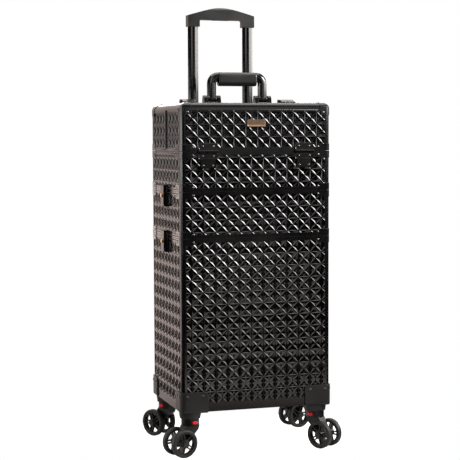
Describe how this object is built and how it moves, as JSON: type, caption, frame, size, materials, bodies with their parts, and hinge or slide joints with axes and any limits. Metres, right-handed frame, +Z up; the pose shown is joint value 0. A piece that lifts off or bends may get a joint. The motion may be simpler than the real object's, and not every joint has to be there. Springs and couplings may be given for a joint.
{
  "type": "rolling makeup case",
  "caption": "Tall black hard-shell rolling makeup case of stacked lift-off tiers with split hinged lids, cantilever trays, side latches, trolley handle and twin-wheel spinner casters.",
  "frame": {"origin": "on the floor, under the middle of the case", "axes": "+Z up along the height, +X to the right seen from the front, +Y from front to rear"},
  "size_m": [0.4108, 0.3174, 0.988],
  "materials": {
    "panel_black": "embossed gloss",
    "edge_black": "black anodised satin",
    "latch_black": "black satin",
    "rod_black": "black gloss",
    "plastic_black": "fine moulded grain",
    "screw_steel": "black nickel",
    "plate_gold": "polished",
    "link_steel": "zinc plated",
    "tray_black": "fine grain",
    "button_red": "gloss",
    "wheel_black": "satin rim, dull tyre"
  },
  "bodies": {
    "lower_case": {"lower_shell": "panel_black", "lower_frame": "edge_black", "corner_guards": "plastic_black", "guard_screws": "screw_steel", "trolley_tubes": "rod_black", "trolley_brackets": "plastic_black", "lower_latch_plates": "latch_black"},
    "trolley_handle": {"trolley_rods": "rod_black", "trolley_grip": "plastic_black"},
    "lock_button": {"grip_button": "plastic_black"},
    "middle_tier": {"middle_shell": "panel_black", "middle_frame": "edge_black", "middle_latch_plates": "latch_black"},
    "top_case": {"top_shell": "panel_black", "top_frame": "edge_black", "top_latch_plates": "latch_black", "case_hinge_leaves": "edge_black"},
    "front_lid": {"front_lid_shell": "panel_black", "front_lid_frame": "edge_black", "front_hinge_leaves": "edge_black", "name_plate": "plate_gold", "lid_latch_catches": "latch_black"},
    "rear_lid": {"rear_lid_shell": "panel_black", "rear_lid_frame": "edge_black", "rear_hinge_leaves": "edge_black", "handle_brackets": "plastic_black", "lid_latch_bases": "latch_black"},
    "carry_handle": {"carry_handle": "rod_black", "carry_grip": "plastic_black"},
    "lid_latch_left": {"lid_latch_lever_left": "latch_black"},
    "lid_latch_right": {"lid_latch_lever_right": "latch_black"},
    "latch_left_upper": {"latch_left_upper": "latch_black"},
    "latch_left_lower": {"latch_left_lower": "latch_black"},
    "latch_right_upper": {"latch_right_upper": "latch_black"},
    "latch_right_lower": {"latch_right_lower": "latch_black"},
    "front_links_a": {"front_link_a": "link_steel"},
    "front_links_b": {"front_link_b": "link_steel"},
    "front_lower_tray": {"front_lower_tray": "tray_black"},
    "front_upper_tray": {"front_upper_tray": "tray_black"},
    "rear_links_a": {"rear_link_a": "link_steel"},
    "rear_links_b": {"rear_link_b": "link_steel"},
    "rear_lower_tray": {"rear_lower_tray": "tray_black"},
    "rear_upper_tray": {"rear_upper_tray": "tray_black"},
    "caster_fl": {"caster_fork_fl": "plastic_black"},
    "wheel_fl_left": {"wheel_fl_left": "wheel_black"},
    "wheel_fl_right": {"wheel_fl_right": "wheel_black"},
    "caster_button_fl": {"caster_button_fl": "button_red"},
    "caster_fr": {"caster_fork_fr": "plastic_black"},
    "wheel_fr_left": {"wheel_fr_left": "wheel_black"},
    "wheel_fr_right": {"wheel_fr_right": "wheel_black"},
    "caster_button_fr": {"caster_button_fr": "button_red"},
    "caster_rl": {"caster_fork_rl": "plastic_black"},
    "wheel_rl_left": {"wheel_rl_left": "wheel_black"},
    "wheel_rl_right": {"wheel_rl_right": "wheel_black"},
    "caster_button_rl": {"caster_button_rl": "button_red"},
    "caster_rr": {"caster_fork_rr": "plastic_black"},
    "wheel_rr_left": {"wheel_rr_left": "wheel_black"},
    "wheel_rr_right": {"wheel_rr_right": "wheel_black"},
    "caster_button_rr": {"caster_button_rr": "button_red"}
  },
  "joints": [
    {"name": "middle_tier_lift", "type": "slide", "parent": "lower_case", "child": "middle_tier", "axis": [0, 0, 1], "range_m": [0, 0.12]},
    {"name": "top_case_lift", "type": "slide", "parent": "middle_tier", "child": "top_case", "axis": [0, 0, 1], "range_m": [0, 0.12]},
    {"name": "front_lid_hinge", "type": "hinge", "parent": "top_case", "child": "front_lid", "pos_m": [0, -0.1276, 0.6585], "axis": [1, 0, 0], "range_deg": [0, 95]},
    {"name": "rear_lid_hinge", "type": "hinge", "parent": "top_case", "child": "rear_lid", "pos_m": [0, 0.1276, 0.6585], "axis": [-1, 0, 0], "range_deg": [0, 4]},
    {"name": "carry_handle_fold", "type": "hinge", "parent": "rear_lid", "child": "carry_handle", "pos_m": [0, 0.013, 0.774], "axis": [1, 0, 0], "range_deg": [-80, 80]},
    {"name": "trolley_slide", "type": "slide", "parent": "lower_case", "child": "trolley_handle", "axis": [0, 0, 1], "range_m": [-0.34, 0]},
    {"name": "lock_button_press", "type": "slide", "parent": "trolley_handle", "child": "lock_button", "axis": [0, 0, 1], "range_m": [0, 0.003], "stiffness_N_per_m": 500},
    {"name": "lid_latch_left_flip", "type": "hinge", "parent": "rear_lid", "child": "lid_latch_left", "pos_m": [-0.115, 0.013, 0.7685], "axis": [-1, 0, 0], "range_deg": [0, 115]},
    {"name": "lid_latch_right_flip", "type": "hinge", "parent": "rear_lid", "child": "lid_latch_right", "pos_m": [0.115, 0.013, 0.7685], "axis": [-1, 0, 0], "range_deg": [0, 115]},
    {"name": "latch_left_upper_flip", "type": "hinge", "parent": "middle_tier", "child": "latch_left_upper", "pos_m": [-0.1762, -0.005, 0.5415], "axis": [0, -1, 0], "range_deg": [0, 110]},
    {"name": "latch_left_lower_flip", "type": "hinge", "parent": "lower_case", "child": "latch_left_lower", "pos_m": [-0.1762, -0.005, 0.441], "axis": [0, -1, 0], "range_deg": [0, 110]},
    {"name": "latch_right_upper_flip", "type": "hinge", "parent": "middle_tier", "child": "latch_right_upper", "pos_m": [0.1762, -0.005, 0.5415], "axis": [0, 1, 0], "range_deg": [0, 110]},
    {"name": "latch_right_lower_flip", "type": "hinge", "parent": "lower_case", "child": "latch_right_lower", "pos_m": [0.1762, -0.005, 0.441], "axis": [0, 1, 0], "range_deg": [0, 110]},
    {"name": "front_links_a_swing", "type": "hinge", "parent": "top_case", "child": "front_links_a", "pos_m": [0, -0.104, 0.648], "axis": [1, 0, 0], "range_deg": [0, 60]},
    {"name": "front_links_b_swing", "type": "hinge", "parent": "top_case", "child": "front_links_b", "pos_m": [0, -0.078, 0.648], "axis": [1, 0, 0], "range_deg": [0, 60]},
    {"name": "front_lower_tray_level", "type": "hinge", "parent": "front_links_a", "child": "front_lower_tray", "pos_m": [0, -0.07186, 0.6863], "axis": [1, 0, 0], "range_deg": [-60, 0]},
    {"name": "front_upper_tray_level", "type": "hinge", "parent": "front_links_a", "child": "front_upper_tray", "pos_m": [0, -0.04294, 0.72077], "axis": [1, 0, 0], "range_deg": [-60, 0]},
    {"name": "rear_links_a_swing", "type": "hinge", "parent": "top_case", "child": "rear_links_a", "pos_m": [0, 0.104, 0.648], "axis": [-1, 0, 0], "range_deg": [0, 2.7]},
    {"name": "rear_links_b_swing", "type": "hinge", "parent": "top_case", "child": "rear_links_b", "pos_m": [0, 0.078, 0.648], "axis": [-1, 0, 0], "range_deg": [0, 2.7]},
    {"name": "rear_lower_tray_level", "type": "hinge", "parent": "rear_links_a", "child": "rear_lower_tray", "pos_m": [0, 0.07186, 0.6863], "axis": [-1, 0, 0], "range_deg": [-2.7, 0]},
    {"name": "rear_upper_tray_level", "type": "hinge", "parent": "rear_links_a", "child": "rear_upper_tray", "pos_m": [0, 0.04294, 0.72077], "axis": [-1, 0, 0], "range_deg": [-2.7, 0]},
    {"name": "caster_fl_swivel", "type": "hinge", "parent": "lower_case", "child": "caster_fl", "pos_m": [-0.145, -0.099, 0.09], "axis": [0, 0, 1], "continuous": true},
    {"name": "wheel_fl_left_spin", "type": "hinge", "parent": "caster_fl", "child": "wheel_fl_left", "pos_m": [-0.16489, -0.12395, 0.0305], "axis": [0.2756, -0.9613, 0], "continuous": true},
    {"name": "wheel_fl_right_spin", "type": "hinge", "parent": "caster_fl", "child": "wheel_fl_right", "pos_m": [-0.17509, -0.08838, 0.0305], "axis": [0.2756, -0.9613, 0], "continuous": true},
    {"name": "caster_button_fl_press", "type": "slide", "parent": "caster_fl", "child": "caster_button_fl", "axis": [-0.2756, 0.9613, 0], "range_m": [0, 0.002], "stiffness_N_per_m": 400},
    {"name": "caster_fr_swivel", "type": "hinge", "parent": "lower_case", "child": "caster_fr", "pos_m": [0.145, -0.099, 0.09], "axis": [0, 0, 1], "continuous": true},
    {"name": "wheel_fr_left_spin", "type": "hinge", "parent": "caster_fr", "child": "wheel_fr_left", "pos_m": [0.17468, -0.11073, 0.0305], "axis": [0.8387, 0.5446, 0], "continuous": true},
    {"name": "wheel_fr_right_spin", "type": "hinge", "parent": "caster_fr", "child": "wheel_fr_right", "pos_m": [0.14364, -0.13088, 0.0305], "axis": [0.8387, 0.5446, 0], "continuous": true},
    {"name": "caster_button_fr_press", "type": "slide", "parent": "caster_fr", "child": "caster_button_fr", "axis": [0.8387, 0.5446, 0], "range_m": [0, 0.002], "stiffness_N_per_m": 400},
    {"name": "caster_rl_swivel", "type": "hinge", "parent": "lower_case", "child": "caster_rl", "pos_m": [-0.145, 0.099, 0.09], "axis": [0, 0, 1], "continuous": true},
    {"name": "wheel_rl_left_spin", "type": "hinge", "parent": "caster_rl", "child": "wheel_rl_left", "pos_m": [-0.17468, 0.11073, 0.0305], "axis": [-0.8387, -0.5446, 0], "continuous": true},
    {"name": "wheel_rl_right_spin", "type": "hinge", "parent": "caster_rl", "child": "wheel_rl_right", "pos_m": [-0.14364, 0.13088, 0.0305], "axis": [-0.8387, -0.5446, 0], "continuous": true},
    {"name": "caster_button_rl_press", "type": "slide", "parent": "caster_rl", "child": "caster_button_rl", "axis": [0.8387, 0.5446, 0], "range_m": [0, 0.002], "stiffness_N_per_m": 400},
    {"name": "caster_rr_swivel", "type": "hinge", "parent": "lower_case", "child": "caster_rr", "pos_m": [0.145, 0.099, 0.09], "axis": [0, 0, 1], "continuous": true},
    {"name": "wheel_rr_left_spin", "type": "hinge", "parent": "caster_rr", "child": "wheel_rr_left", "pos_m": [0.16489, 0.12395, 0.0305], "axis": [-0.2756, 0.9613, 0], "continuous": true},
    {"name": "wheel_rr_right_spin", "type": "hinge", "parent": "caster_rr", "child": "wheel_rr_right", "pos_m": [0.17509, 0.08838, 0.0305], "axis": [-0.2756, 0.9613, 0], "continuous": true},
    {"name": "caster_button_rr_press", "type": "slide", "parent": "caster_rr", "child": "caster_button_rr", "axis": [-0.2756, 0.9613, 0], "range_m": [0, 0.002], "stiffness_N_per_m": 400}
  ],
  "couplings": [
    {"joint": "front_links_a_swing", "follows": "front_lid_hinge", "ratio": 0.63},
    {"joint": "front_links_b_swing", "follows": "front_lid_hinge", "ratio": 0.63},
    {"joint": "front_lower_tray_level", "follows": "front_lid_hinge", "ratio": -0.63},
    {"joint": "front_upper_tray_level", "follows": "front_lid_hinge", "ratio": -0.63},
    {"joint": "rear_links_a_swing", "follows": "rear_lid_hinge", "ratio": 0.63},
    {"joint": "rear_links_b_swing", "follows": "rear_lid_hinge", "ratio": 0.63},
    {"joint": "rear_lower_tray_level", "follows": "rear_lid_hinge", "ratio": -0.63},
    {"joint": "rear_upper_tray_level", "follows": "rear_lid_hinge", "ratio": -0.63}
  ]
}
